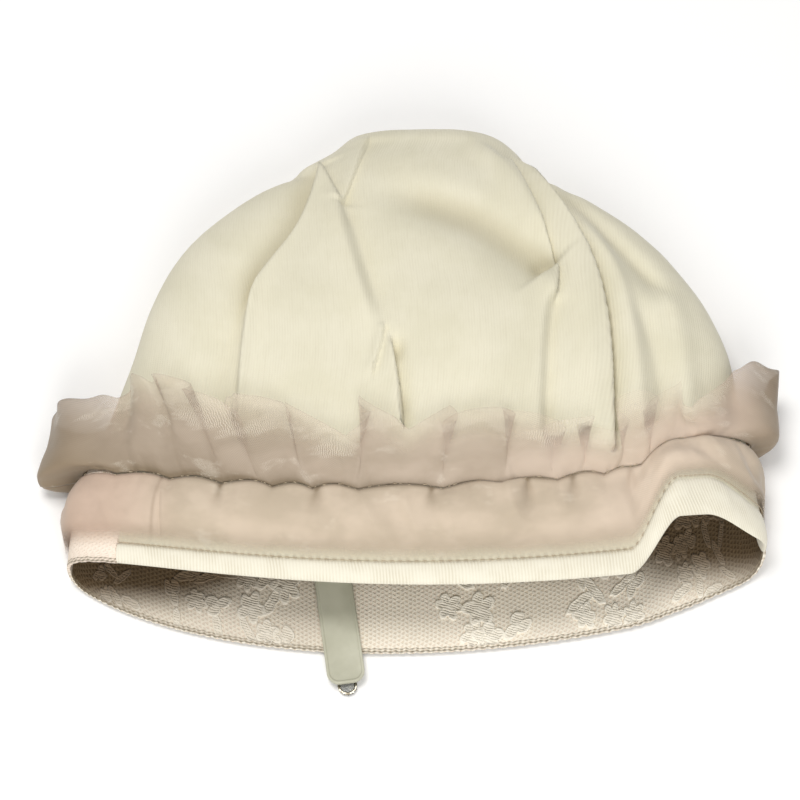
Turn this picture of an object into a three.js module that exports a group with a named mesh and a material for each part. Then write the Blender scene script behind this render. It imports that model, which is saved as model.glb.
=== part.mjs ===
// A soft baby hat lying on its back: a cream jersey front panel, a lace back panel that wraps a little way
// round the left side, a ribbed binding on the front hem, and an organza strip shirred onto the brow so that
// it makes a puffed band below the gathers and a free frill above them. A rubber label with a crystal in a
// metal cup is sewn inside the back. Millimetres, +X to the hat's right, +Y from the hem to the crown, +Z up.
import * as THREE from "three";

const { lerp, clamp, smoothstep } = THREE.MathUtils;

// Thickness of each cloth, and the gap kept between pieces.
const knitWall = 1.3;
const laceWall = 1.0;
const bindingWall = 2.6;
const organzaWall = 1.0;
const gap = 0.3;
const seamTrim = 0.23; // taken off each edge where two panels are sewn together

// The hat as a flattened bag. Each row is one girth, from the hem to the crown's end.
const girthColumns = [
  "yLeft", "yRight", "left", "right", "seamLeft", "seamRight", "crown", "frontBow", "napeBow",
];
const girths = table(girthColumns, [
  [-61, -62, -107, 110.5, 6, 8, 28, -13, -24.5], // hem
  [-48.5, -46, -106, 108, 8, 10, 31, -13, -17],
  [-34, -28, -103, 106, 10, 12, 34, -14, -10], // gathers
  [-12, -9, -95, 104, 12, 13, 37, -12, -5],
  [5, 6, -89.5, 102, 13, 14, 40, -10, -2],
  [23, 23, -85, 96.3, 13, 14, 41, -8, 0],
  [38, 38, -79.2, 87.6, 13, 14, 40, -6, 0],
  [52, 52, -70, 76.6, 13, 13, 38, -4, 0],
  [66, 66, -55.6, 60, 12, 12, 35, -2, 0],
  [77, 77, -39.8, 43.5, 12, 12, 31.5, 0, 0],
  [87, 87, -27, 36, 11, 11, 28, 0, 0],
  [94, 94, -21, 29, 11, 11, 27, 0, 0],
  [97.5, 97.5, -16, 23, 11, 11, 26, 0, 0], // crown's end
]);
const lastGirth = girths.length - 1;
const hemTop = 0.5 / lastGirth; // where the binding ends
const gatherLine = 2 / lastGirth;
const frontRoundness = 0.6; // power of the front's cross-section: less is flatter on top
const bowPower = 2.2; // how soon the front's bow falls off to the sides
const napeSkew = 0.16; // the nape hem bows further on the left
const endRadius = 11; // the crown's end closes in a rounded edge
const frontRows = 25;
const frontColumns = 42;
const backColumns = 22;
const widestRow = 0.4; // the columns are evenly spaced at this share of the way to the crown

// The left side seam: the back comes round onto the front below, and meets its edge further up.
const leftSeam = { hemTurn: 0.64, from: 0.1, to: 0.36 };

// The front hem's lifted stretch on the right.
const arch = { start: 66, crest: 82, slack: 90, end: 110, endShare: 0.5, push: 14, rise: 10, fade: 0.3 };

// The back lies on the floor, up to here over the flattened organza.
const organzaUnder = { to: 0.29, ease: 0.04 };

// Folds of the front panel: height above the panel (below it if negative), the fold's reach to each side,
// the share of its length over which each end fades, and its line.
const foldColumns = ["height", "wideLeft", "wideRight", "fadeStart", "fadeEnd", "line"];
const folds = table(foldColumns, [
  [-2.2, 7, 4, 0.2, 0, [[-30, 71], [-36, 52], [-47, 32], [-55, 10], [-59, -22]]], // left pleat's hollow
  [1.3, 2.5, 3.5, 0.4, 0, [[-35, 48], [-48, 28], [-53, 10], [-56, -22]]], // left pleat's edge
  [2.2, 7, 4, 0.2, 0.3, [[-29, 74], [-22, 50], [-15, 26], [-9, 4]]], // left panel's ridge
  [-2.5, 4, 9, 0.3, 0.3, [[-18, 64], [-12, 40], [-6, 18], [-2, 0]]], // hollow beside it
  [-2.6, 2.5, 4, 0, 0.1, [[-12, 96], [-14, 86], [-18, 75], [-23, 56]]], // tuck at the top left
  [-3, 2, 3.5, 0.25, 0, [[-7, 10], [-5, -4], [-3, -24]]], // short crease above the brow
  [1.8, 4, 2, 0.25, 0, [[-10, 9], [-9, -4], [-8, -24]]], // flap beside the short crease
  [-4, 8, 7, 0.5, 0.1, [[-18, 62], [4, 59], [24, 51], [43, 32]]], // dip under the crown's end
  [-2.2, 3, 3, 0.1, 0, [[43, 32], [40.5, 20], [40.5, 6], [41.5, -26]]], // right edge of the swell
  [2, 5, 3, 0.3, 0.2, [[18, 88], [30, 74], [38, 52], [44, 39]]], // ridge right of the dip
  [-2, 2.5, 2.5, 0.1, 0, [[33, 86], [41, 51], [46, 30], [46, -24]]], // fine crease
  [2.2, 4, 3, 0.2, 0, [[42, 74], [52, 40], [57, 16], [58, -26]]], // ridge between the creases
  [-4.2, 2.2, 4, 0.1, 0, [[36, 84], [44, 63], [56, 35], [60.5, 10], [62, -8], [65, -32]]], // deep crease
  [1.8, 4, 4, 0.3, 0, [[51, 62], [63, 36], [68, 14], [71, -24]]], // right gathers
  [-1.6, 4, 4, 0.3, 0, [[67, 23], [75, 12], [80, -24]]],
  [1.6, 4, 4, 0.3, 0, [[73, 36], [82, 17], [86, -22]]],
  [-1.8, 4, 3, 0.2, 0.2, [[46, 75], [59, 52], [76, 34], [89, 8]]],
]);
const swellColumns = ["x", "y", "wide", "long", "height"];
const swells = table(swellColumns, [
  [18, 4, 19, 24, 2.6], // the round swell in the middle
  [43, 32, 5, 6, -2.2], // dimple at the end of the dip
  [-70, 12, 14, 30, 1.4],
  [-34, 10, 14, 30, 1.6],
]);
const foldStart = { from: 0.12, to: 0.2 }; // the panel is smooth under the band
const foldEnd = { from: 0.85, to: 0.98 };
const foldSeam = 0.35; // and smooth towards the side seams
const none = 1e-6; // the length of a fade that isn't there

// The organza: how far the frill stands past the gathers, measured along the panel.
const reachColumns = ["x", "reach"];
const reaches = table(reachColumns, [
  [-104, 18], [-96, 21], [-91, 25], [-84, 27], [-71, 26], [-63, 19], [-59, 12], [-53, 21], [-44, 21],
  [-38, 16], [-35, 22], [-26, 10], [-21, 20], [-13, 23], [-4, 13], [2, 21], [12, 15], [23, 19], [33, 18],
  [42, 11], [50, 14], [60, 9], [66, 17], [69, 21], [75, 13], [80, 23], [87, 10], [94, 24], [98, 29],
  [106, 32],
]);
const backReach = 22;
const frill = { columns: 96, rows: 4, ripples: 24, ripple: 1.5, foot: 0.5, stand: 3, bagLength: 225 };
frill.flareLeft = 15; // how far the frill stands out at each side
frill.flareRight = 8.5;
frill.flareBy = 0.3; // the share of its reach over which it comes out
frill.sidePower = 10; // how closely the flare keeps to the sides
const band = { columns: 84, rows: 4, ripples: 21, ripple: 0.9, foot: 0.4, puff: 3.2, fullest: 1.3 };
band.above = 0.006; // the band starts this far above the binding, along the bag
band.lowEdge = 0.05; // the puff's half wave runs from here at the binding
band.highEdge = 0.95; // to here at the gathers
const shirring = { below: 0.003, above: 0.003, aside: 0.008 }; // room the gathers take along the bag
const droop = 0.3; // how far the flared organza sinks, as a share of its flare
const spread = 0.5; // and how far its lower part comes down towards the hem
const flatFrom = 0.3; // past each side seam, the share of the back over which the organza goes flat

// The label, its cup and its crystal.
const label = { x: -19.7, lean: 0.14, wide: 11.6, thick: 1.4, corner: 3.8, edge: 0.3, free: -96.6, long: 44 };
const cup = { radius: 3, foot: 2.1, shoulder: 0.6, tall: 1.5, seat: 0.8, wall: 0.5, sides: 12 };
const stone = { base: 0.6, girdle: 2.2, table: 1.2, tall: 1.2, rise: 0.4, band: 0.3, sides: 10 };

// A table's rows as objects with named columns.
function table(columns, rows) {
  return rows.map((row) => Object.fromEntries(columns.map((name, i) => [name, row[i]])));
}

// One column of the girths at share t of the way from hem to crown, with no overshoot between rows.
function girthAt(name, t) {
  const place = clamp(t, 0, 1) * lastGirth;
  const i = Math.min(Math.floor(place), lastGirth - 1);
  const step = (k) => girths[k + 1][name] - girths[k][name];
  const slope = (k) => {
    if (k === 0) return step(0);
    if (k === lastGirth) return step(lastGirth - 1);
    const before = step(k - 1);
    const after = step(k);
    return before * after > 0 ? (2 * before * after) / (before + after) : 0;
  };
  const u = place - i;
  const start = (1 + 2 * u) * (1 - u) ** 2;
  const end = u * u * (3 - 2 * u);
  return (
    start * girths[i][name] +
    end * girths[i + 1][name] +
    u * (1 - u) ** 2 * slope(i) +
    u * u * (u - 1) * slope(i + 1)
  );
}

// How far the hem is lifted at x, from 0 to 1.
function archShare(x) {
  const rise = smoothstep(x, arch.start, arch.crest);
  return rise * (1 - arch.endShare * smoothstep(x, arch.slack, arch.end));
}

// The turn goes round the hat: -1 is the left seam, 0 the front's middle, 1 the right seam and 2 the back's
// middle.
function unwound(turn) {
  return turn > 3 ? turn - 4 : turn < -1 ? turn + 4 : turn;
}

// The share of the way across from the left edge to the right one.
function shareAcross(turn) {
  return (1 + Math.sin((unwound(turn) * Math.PI) / 2)) / 2;
}

// Height at which front and back meet, at the sides and between them.
function seamHeight(turn, t) {
  return lerp(girthAt("seamLeft", t), girthAt("seamRight", t), shareAcross(turn));
}

// A point of the smooth bag, without its folds.
function bagPoint(turn, t) {
  const round = unwound(turn);
  const isBack = round > 1;
  const high = Math.abs(Math.cos((round * Math.PI) / 2));
  const left = girthAt("left", t);
  const right = girthAt("right", t);
  const x = lerp(left, right, shareAcross(turn));
  const seam = seamHeight(turn, t);
  const lifted = archShare(x) * (1 - smoothstep(t, 0, arch.fade)) * (isBack ? (1 - high) ** 2 : 1);
  const lean = 1 - napeSkew * (2 * shareAcross(turn) - 1);
  const bow = isBack ? girthAt("napeBow", t) * high ** 1.5 * lean : girthAt("frontBow", t) * high ** bowPower;
  const y = lerp(girthAt("yLeft", t), girthAt("yRight", t), shareAcross(turn)) + bow + arch.push * lifted;
  const fromEnd = Math.max(0, 1 - (girths[lastGirth].yLeft - y) / endRadius);
  const closing = Math.sqrt(Math.max(0, 1 - fromEnd ** 2));
  if (!isBack) {
    const full = high ** frontRoundness * closing;
    return new THREE.Vector3(x, y, lerp(seam, girthAt("crown", t), full) + arch.rise * lifted * full);
  }
  const under = 1 - smoothstep(t, organzaUnder.to, organzaUnder.to + organzaUnder.ease);
  const rest = under * (organzaWall + gap);
  const corner = seam - rest;
  const fromSide = Math.max(0, 1 - Math.min(x - left, right - x) / corner);
  return new THREE.Vector3(x, y, rest + corner * (1 - closing * Math.sqrt(1 - fromSide ** 2)));
}

// The bag's point and outward normal.
function bagFrame(turn, t) {
  const small = 0.004;
  const point = bagPoint(turn, t);
  const round = bagPoint(turn + small, t).sub(bagPoint(turn - small, t));
  const along = bagPoint(turn, Math.min(1, t + small)).sub(bagPoint(turn, Math.max(0, t - small)));
  return { point, normal: round.cross(along).normalize() };
}

// Distance to a fold's line, positive to its right going down it, and the share of its length there.
function alongLine(line, x, y) {
  let best = { distance: Infinity };
  for (let i = 0; i + 1 < line.length; i++) {
    const [ax, ay] = line[i];
    const [dx, dy] = [line[i + 1][0] - ax, line[i + 1][1] - ay];
    const u = clamp(((x - ax) * dx + (y - ay) * dy) / (dx * dx + dy * dy), 0, 1);
    const [ox, oy] = [x - ax - u * dx, y - ay - u * dy];
    const distance = Math.hypot(ox, oy);
    const toRight = dx * oy - dy * ox > 0;
    if (distance < best.distance) best = { distance, toRight, share: (i + u) / (line.length - 1) };
  }
  return best;
}

// Height of the folds over the smooth front at a point.
function foldHeight(point, turn, t) {
  let height = 0;
  for (const fold of folds) {
    const { distance, toRight, share } = alongLine(fold.line, point.x, point.y);
    const wide = toRight ? fold.wideRight : fold.wideLeft;
    const fadeIn = smoothstep(share, 0, fold.fadeStart || none);
    const fade = fadeIn * smoothstep(1 - share, 0, fold.fadeEnd || none);
    height += fold.height * Math.exp(-((distance / wide) ** 2)) * fade;
  }
  for (const swell of swells) {
    const far = ((point.x - swell.x) / swell.wide) ** 2 + ((point.y - swell.y) / swell.long) ** 2;
    height += swell.height * Math.exp(-far);
  }
  const awayFromSeam = smoothstep(Math.cos((turn * Math.PI) / 2), 0, foldSeam);
  const pastBand = smoothstep(t, foldStart.from, foldStart.to);
  const belowCrown = 1 - smoothstep(t, foldEnd.from, foldEnd.to);
  return height * awayFromSeam * pastBand * belowCrown;
}

// Where the organza is loose (1) and where it is pressed flat under the hat (0).
function looseness(turn) {
  const round = unwound(turn);
  if (round <= 1) return 1;
  return 1 - smoothstep(Math.min(round - 1, 3 - round), 0, flatFrom);
}

// Stops along a curve, in equal steps of its length.
function evenStops(count, from, to, pointAt) {
  const samples = 600;
  const lengths = [0];
  let last = pointAt(from);
  for (let i = 1; i <= samples; i++) {
    const next = pointAt(lerp(from, to, i / samples));
    lengths.push(lengths[i - 1] + next.distanceTo(last));
    last = next;
  }
  const stops = [];
  let k = 0;
  for (let i = 0; i <= count; i++) {
    const wanted = (lengths[samples] * i) / count;
    while (k < samples - 1 && lengths[k + 1] < wanted) k++;
    const part = (wanted - lengths[k]) / (lengths[k + 1] - lengths[k]);
    stops.push(lerp(from, to, (k + clamp(part, 0, 1)) / samples));
  }
  return stops;
}

// Pulls the edges of a grid of points in, so that neighbouring panels stay apart.
function trimEdges(grid) {
  const pull = (point, towards) => point.add(towards.clone().sub(point).setLength(seamTrim));
  const last = grid.length - 1;
  const end = grid[0].length - 1;
  for (let j = 0; j <= end; j++) {
    pull(grid[0][j], grid[1][j]);
    pull(grid[last][j], grid[last - 1][j]);
  }
  for (let i = 0; i <= last; i++) {
    pull(grid[i][0], grid[i][1]);
    pull(grid[i][end], grid[i][end - 1]);
  }
}

// The grid's points moved along its own normals.
function offsetGrid(grid, distance, isRing) {
  const last = grid.length - 1;
  return grid.map((column, i) =>
    column.map((point, j) => {
      const next = isRing ? (i + 1) % grid.length : Math.min(i + 1, last);
      const before = isRing ? (i + last) % grid.length : Math.max(i - 1, 0);
      const round = grid[next][j].clone().sub(grid[before][j]);
      const along = column[Math.min(j + 1, column.length - 1)].clone().sub(column[Math.max(j - 1, 0)]);
      return point.clone().addScaledVector(round.cross(along).normalize(), distance);
    }),
  );
}

// A closed body from faces given as loops of points: each quad is two triangles, each fan starts at its first
// point.
function bodyOf(quads, fans = []) {
  const places = [];
  const triangle = (a, b, c) => places.push(...a.toArray(), ...b.toArray(), ...c.toArray());
  for (const [a, b, c, d] of quads) {
    triangle(a, b, c);
    triangle(a, c, d);
  }
  for (const loop of fans) {
    for (let i = 1; i + 1 < loop.length; i++) triangle(loop[0], loop[i], loop[i + 1]);
  }
  const geometry = new THREE.BufferGeometry();
  geometry.setAttribute("position", new THREE.Float32BufferAttribute(places, 3));
  geometry.computeVertexNormals();
  return geometry;
}

// A sheet of cloth: an outer and an inner grid of points, indexed [round][along], closed by its edges.
function clothBody(outer, inner, isRing) {
  const quads = [];
  const last = outer.length - 1;
  const end = outer[0].length - 1;
  for (let i = 0; i < last + (isRing ? 1 : 0); i++) {
    const n = (i + 1) % outer.length;
    for (let j = 0; j < end; j++) {
      quads.push([outer[i][j], outer[n][j], outer[n][j + 1], outer[i][j + 1]]);
      quads.push([inner[n][j], inner[i][j], inner[i][j + 1], inner[n][j + 1]]);
    }
    quads.push([inner[i][0], inner[n][0], outer[n][0], outer[i][0]]);
    quads.push([outer[i][end], outer[n][end], inner[n][end], inner[i][end]]);
  }
  for (let j = 0; j < end && !isRing; j++) {
    quads.push([inner[0][j + 1], inner[0][j], outer[0][j], outer[0][j + 1]]);
    quads.push([outer[last][j + 1], outer[last][j], inner[last][j], inner[last][j + 1]]);
  }
  return bodyOf(quads);
}

// The turn of the left side seam.
function leftEdge(t) {
  return -lerp(leftSeam.hemTurn, 1, smoothstep(t, leftSeam.from, leftSeam.to));
}

// The rows and columns that neighbouring panels share.
const rowStops = evenStops(frontRows, hemTop, 1, (t) => bagPoint(1, t));
const frontTurns = evenStops(frontColumns, -1, 1, (turn) => bagPoint(turn, widestRow));
const columnShares = frontTurns.map((turn) => (turn + 1) / 2);

function frontPanel() {
  const outer = columnShares.map((share) =>
    rowStops.map((t) => {
      const turn = lerp(leftEdge(t), 1, share);
      const { point, normal } = bagFrame(turn, t);
      return point.addScaledVector(normal, foldHeight(point, turn, t));
    }),
  );
  const inner = offsetGrid(outer, -knitWall, false);
  rowStops.forEach((t, j) => {
    const lowest = Math.max(girthAt("seamLeft", t), girthAt("seamRight", t)) + gap / 2;
    for (const column of inner) column[j].z = Math.max(column[j].z, lowest);
  });
  trimEdges(outer);
  trimEdges(inner);
  return clothBody(outer, inner, false);
}

function backPanel() {
  const stops = [0, ...rowStops];
  const turnAt = (i, t) => lerp(1, leftEdge(t) + 4, i / backColumns);
  const outer = [];
  for (let i = 0; i <= backColumns; i++) outer.push(stops.map((t) => bagPoint(turnAt(i, t), t)));
  const inner = offsetGrid(outer, -laceWall, false);
  inner.forEach((column, i) =>
    column.forEach((point, j) => {
      const turn = turnAt(i, stops[j]);
      if (turn <= 3) point.z = Math.min(point.z, seamHeight(turn, stops[j]) - gap / 2);
    }),
  );
  trimEdges(outer);
  trimEdges(inner);
  return clothBody(outer, inner, false);
}

// The ribbed binding, folded over the front panel's hem: a rolled section carried along the hem.
function hemBinding() {
  const proud = (bindingWall - knitWall) / 2;
  const section = [
    [hemTop, proud], [0.3 * hemTop, proud + 0.1], [0.06 * hemTop, 0.1],
    [0, -knitWall / 2],
    [0.06 * hemTop, -knitWall - 0.1], [0.3 * hemTop, -knitWall - proud], [hemTop, -knitWall - proud],
  ];
  const rings = columnShares.map((share) =>
    section.map(([t, height]) => {
      const { point, normal } = bagFrame(lerp(leftEdge(t), 1, share), t);
      return point.addScaledVector(normal, height);
    }),
  );
  trimEdges(rings);
  const quads = [];
  for (let i = 0; i < frontColumns; i++) {
    for (let j = 0; j < section.length; j++) {
      const n = (j + 1) % section.length;
      quads.push([rings[i][j], rings[i][n], rings[i + 1][n], rings[i + 1][j]]);
    }
  }
  return bodyOf(quads, [[...rings[0]].reverse(), rings[frontColumns]]);
}

// One ring of organza round the hat. tAt gives its place along the bag, standAt its height off it, and
// flareAt how far it stands out sideways, all at a turn, at share v of the way from its lower edge.
function organzaRing(size, tAt, standAt, flareAt = () => 0) {
  const turns = evenStops(size.columns, -1, 3, (turn) => bagPoint(turn, gatherLine)).slice(0, size.columns);
  const low = turns.map((turn, i) => {
    const column = [];
    for (let j = 0; j <= size.rows; j++) {
      const v = j / size.rows;
      const { point, normal } = bagFrame(turn, tAt(turn, v));
      const wave = Math.sin((2 * Math.PI * size.ripples * i) / size.columns);
      const loose = looseness(turn);
      point.addScaledVector(normal, gap + standAt(turn, v, wave, point) * loose);
      const flare = flareAt(turn, v) * loose;
      point.x += flare;
      point.y -= spread * Math.abs(flare) * (1 - v);
      point.z = Math.max(point.z - droop * Math.abs(flare), organzaWall);
      column.push(point);
    }
    return column;
  });
  const high = offsetGrid(low, organzaWall, true);
  for (const column of high) for (const point of column) point.z = Math.max(point.z, 0);
  return clothBody(high, low, true);
}

function ruffleBand() {
  const start = hemTop + band.above;
  const end = gatherLine - shirring.below;
  const tAt = (turn, v) => lerp(start, end, v);
  const standAt = (turn, v, wave) => {
    const puffed = Math.sin(Math.PI * lerp(band.lowEdge, band.highEdge, v ** band.fullest));
    return band.foot + (band.puff + band.ripple * wave) * puffed;
  };
  return organzaRing(band, tAt, standAt);
}

// How far the frill reaches past the gathers at a place round the hat.
function frillReach(turn, x) {
  const next = clamp(reaches.findIndex((row) => row.x > x), 1, reaches.length - 1);
  const a = reaches[next - 1];
  const b = reaches[next];
  const between = clamp((x - a.x) / (b.x - a.x), 0, 1);
  const reach = x > b.x ? b.reach : lerp(a.reach, b.reach, between);
  return lerp(backReach, reach, looseness(turn));
}

function ruffleFrill() {
  const sideShare = (turn) => Math.abs(2 * shareAcross(turn) - 1) ** frill.sidePower;
  const tAt = (turn, v) => {
    const start = gatherLine + lerp(shirring.above, shirring.aside, sideShare(turn) * looseness(turn));
    return start + (v * frillReach(turn, bagPoint(turn, gatherLine).x)) / frill.bagLength;
  };
  const standAt = (turn, v, wave, point) => {
    const cleared = unwound(turn) > 1 ? 0 : Math.max(0, foldHeight(point, turn, tAt(turn, v)));
    return frill.foot + cleared + frill.stand * v + frill.ripple * wave * v;
  };
  const flareAt = (turn, v) => {
    const far = shareAcross(turn) < 0.5 ? -frill.flareLeft : frill.flareRight;
    return far * sideShare(turn) * smoothstep(v, 0, frill.flareBy);
  };
  return organzaRing(frill, tAt, standAt, flareAt);
}

// The rubber label: a flat tongue with a rounded free end, lying out over the nape hem.
function labelTab() {
  const half = label.wide / 2;
  const { corner, edge, long } = label;
  const outline = new THREE.Shape();
  outline.moveTo(-half, long);
  outline.lineTo(-half, corner);
  outline.quadraticCurveTo(-half, 0, -half + corner, 0);
  outline.lineTo(half - corner, 0);
  outline.quadraticCurveTo(half, 0, half, corner);
  outline.lineTo(half, long);
  outline.closePath();
  const geometry = new THREE.ExtrudeGeometry(outline, {
    depth: label.thick - 2 * edge,
    bevelThickness: edge,
    bevelSize: edge,
    bevelOffset: -edge,
    bevelSegments: 1,
    curveSegments: 4,
  });
  return geometry.translate(0, 0, edge);
}

// A body turned about the upright axis from pairs of radius and height, going up the outside.
function turned(pairs, sides) {
  const profile = pairs.map(([radius, height]) => new THREE.Vector2(radius, height));
  return new THREE.LatheGeometry(profile, sides).rotateX(Math.PI / 2);
}

function labelCup() {
  const { radius, foot, shoulder, tall, seat, wall, sides } = cup;
  const floor = seat - 2 * gap;
  const inside = radius - wall;
  const outline = [[0, 0], [foot, 0], [radius, shoulder], [radius, tall]];
  return turned([...outline, [inside, tall], [inside, floor], [0, floor]], sides);
}

// A cut stone: a flat back, a girdle, and facets up to a flat table.
function labelCrystal() {
  const { base, girdle, table: top, tall, rise, band: rim, sides } = stone;
  const under = [[0, base], [top, base], [girdle, base + rise]];
  return turned([...under, [girdle, base + rise + rim], [top, base + tall], [0, base + tall]], sides);
}

function material(color, roughness, metalness = 0) {
  return new THREE.MeshStandardMaterial({ color, roughness, metalness });
}

function piece(name, geometry, finish) {
  const mesh = new THREE.Mesh(geometry, finish);
  mesh.name = name;
  return mesh;
}

const jersey = material(0xece6d0, 0.85);
const lace = material(0xd8c6b2, 0.9);
const organza = material(0xd9c6b4, 0.6);
const rubber = material(0xb4b09e, 0.55);
const metal = material(0x8d8a80, 0.3, 1);
const crystal = material(0xf2f2ee, 0.05);

// The hat lies about its own box's middle.
const toMiddle = { x: -0.3, y: 1.1 };
const lying = new THREE.Group();
lying.position.set(toMiddle.x, toMiddle.y, 0);
lying.add(piece("front_panel", frontPanel(), jersey));
lying.add(piece("back_panel", backPanel(), lace));
lying.add(piece("hem_binding", hemBinding(), jersey));
lying.add(piece("ruffle_band", ruffleBand(), organza));
lying.add(piece("ruffle_frill", ruffleFrill(), organza));

// The cup lies under the label's free end, which hides half of it.
const tab = new THREE.Group();
const tabPiece = piece("label_tab", labelTab(), rubber);
tabPiece.position.z = organzaWall + laceWall + 2 * gap;
tab.add(tabPiece, piece("label_cup", labelCup(), metal), piece("label_crystal", labelCrystal(), crystal));
tab.position.set(label.x, label.free, 0);
tab.rotation.z = label.lean;
lying.add(tab);

const hat = new THREE.Group();
hat.add(lying);

export default hat;
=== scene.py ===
import math

import bmesh
import bpy
import numpy as np
from mathutils import Matrix, Vector


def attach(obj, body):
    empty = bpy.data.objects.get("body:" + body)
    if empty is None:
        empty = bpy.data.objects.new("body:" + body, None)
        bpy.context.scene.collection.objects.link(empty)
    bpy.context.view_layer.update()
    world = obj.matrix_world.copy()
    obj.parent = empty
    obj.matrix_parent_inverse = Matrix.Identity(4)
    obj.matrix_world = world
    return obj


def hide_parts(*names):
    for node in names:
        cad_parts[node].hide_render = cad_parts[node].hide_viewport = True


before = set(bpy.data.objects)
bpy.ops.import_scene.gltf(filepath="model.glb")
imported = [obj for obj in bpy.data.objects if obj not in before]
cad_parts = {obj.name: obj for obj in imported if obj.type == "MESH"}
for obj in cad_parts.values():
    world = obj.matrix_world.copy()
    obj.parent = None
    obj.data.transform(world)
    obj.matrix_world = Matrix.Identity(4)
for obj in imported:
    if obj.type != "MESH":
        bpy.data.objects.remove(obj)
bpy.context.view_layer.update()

scene = bpy.context.scene
metre = 0.001  # the sizes below are millimetres, +Y from the hem to the crown

# The view of the photograph, towards a point over the hat's middle.
view = {"target": (-3.9, -13.9, 34.0), "elevation": 62.0, "distance": 750.0, "lens": 108.87}


def makeCamera():
    lens = bpy.data.cameras.new("camera")
    lens.lens = view["lens"]
    camera = bpy.data.objects.new("camera", lens)
    scene.collection.objects.link(camera)
    raised = math.radians(view["elevation"])
    back = Vector((0, -math.cos(raised), math.sin(raised)))
    camera.location = (Vector(view["target"]) + back * view["distance"]) * metre
    camera.rotation_euler = back.to_track_quat("Z", "Y").to_euler()
    scene.camera = camera


makeCamera()
print("camera in place")


# The bag: the hat's smooth form, lying on its back. A turn of -1 is the left seam, 0 the front's middle,
# 1 the right seam and 2 the back's middle; t goes from the hem to the crown's end.
bag = {
    "middle": (-0.3, 1.1),  # the bag's own origin in the frame
    "columns": ["yLeft", "yRight", "left", "right", "seamLeft", "seamRight", "crown", "frontBow", "napeBow"],
    "rows": [
        (-61, -62, -107, 110.5, 6, 8, 28, -13, -24.5),  # hem
        (-48.5, -46, -106, 108, 8, 10, 31, -13, -17),
        (-34, -28, -103, 106, 10, 12, 34, -14, -10),  # gathers
        (-12, -9, -95, 104, 12, 13, 37, -12, -5),
        (5, 6, -89.5, 102, 13, 14, 40, -10, -2),
        (23, 23, -85, 96.3, 13, 14, 41, -8, 0),
        (38, 38, -79.2, 87.6, 13, 14, 40, -6, 0),
        (52, 52, -70, 76.6, 13, 13, 38, -4, 0),
        (66, 66, -55.6, 60, 12, 12, 35, -2, 0),
        (77, 77, -39.8, 43.5, 12, 12, 31.5, 0, 0),
        (87, 87, -27, 36, 11, 11, 28, 0, 0),
        (94, 94, -21, 29, 11, 11, 27, 0, 0),
        (97.5, 97.5, -16, 23, 11, 11, 26, 0, 0),  # crown's end
    ],
    "frontRoundness": 0.6,
    "bowPower": 2.2,
    "napeSkew": 0.16,
    "endRadius": 11,
    "leftSeam": {"hemTurn": 0.64, "start": 0.1, "end": 0.36},
    "organzaUnder": {"to": 0.29, "ease": 0.04, "thick": 1.3},
}
# The stretch at the right where the front hem is lifted, from start to end across the hat.
arch = {"start": 66, "crest": 82, "slack": 90, "end": 110, "endShare": 0.5, "push": 14, "rise": 10,
        "fade": 0.3}
girths = {name: np.array([row[i] for row in bag["rows"]], float) for i, name in enumerate(bag["columns"])}
lastGirth = len(bag["rows"]) - 1
hemTop = 0.5 / lastGirth
gatherLine = 2 / lastGirth


def lerp(a, b, share):
    return a + (b - a) * share


def ease(value, start, end):
    share = np.clip((value - start) / (end - start), 0, 1)
    return share * share * (3 - 2 * share)


def girthAt(name, t):
    rows = girths[name]
    place = np.clip(t, 0, 1) * lastGirth
    i = np.minimum(place.astype(int), lastGirth - 1)
    u = place - i
    step = np.diff(rows)
    turning = step[:-1] * step[1:] <= 0
    between = 2 * step[:-1] * step[1:] / np.where(turning, 1, step[:-1] + step[1:])
    slope = np.concatenate([step[:1], np.where(turning, 0, between), step[-1:]])
    held = (1 + 2 * u) * (1 - u) ** 2 * rows[i] + u * u * (3 - 2 * u) * rows[i + 1]
    return held + u * (1 - u) ** 2 * slope[i] + u * u * (u - 1) * slope[i + 1]


def unwound(turn):
    return np.where(turn > 3, turn - 4, np.where(turn < -1, turn + 4, turn))


def shareAcross(turn):
    return (1 + np.sin(unwound(turn) * math.pi / 2)) / 2


def archShare(x):
    rise = ease(x, arch["start"], arch["crest"])
    return rise * (1 - arch["endShare"] * ease(x, arch["slack"], arch["end"]))


def bagPoint(turn, t):
    turn, t = np.broadcast_arrays(np.asarray(turn, float), np.asarray(t, float))
    isBack = unwound(turn) > 1
    high = np.abs(np.cos(unwound(turn) * math.pi / 2))
    share = shareAcross(turn)
    left, right = girthAt("left", t), girthAt("right", t)
    x = lerp(left, right, share)
    seam = lerp(girthAt("seamLeft", t), girthAt("seamRight", t), share)
    lifted = archShare(x) * (1 - ease(t, 0, arch["fade"])) * np.where(isBack, (1 - high) ** 2, 1)
    lean = 1 - bag["napeSkew"] * (2 * share - 1)
    frontBow = girthAt("frontBow", t) * high ** bag["bowPower"]
    bow = np.where(isBack, girthAt("napeBow", t) * high**1.5 * lean, frontBow)
    y = lerp(girthAt("yLeft", t), girthAt("yRight", t), share) + bow + arch["push"] * lifted
    fromEnd = np.maximum(0, 1 - (girths["yLeft"][-1] - y) / bag["endRadius"])
    closing = np.sqrt(np.maximum(0, 1 - fromEnd**2))
    full = high ** bag["frontRoundness"] * closing
    front = lerp(seam, girthAt("crown", t), full) + arch["rise"] * lifted * full
    under = bag["organzaUnder"]
    rest = (1 - ease(t, under["to"], under["to"] + under["ease"])) * under["thick"]
    corner = seam - rest
    fromSide = np.maximum(0, 1 - np.minimum(x - left, right - x) / corner)
    back = rest + corner * (1 - closing * np.sqrt(np.maximum(0, 1 - fromSide**2)))
    return np.stack([x, y, np.where(isBack, back, front)], -1)


def unit(vectors):
    return vectors / np.maximum(np.linalg.norm(vectors, axis=-1, keepdims=True), 1e-9)


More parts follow.
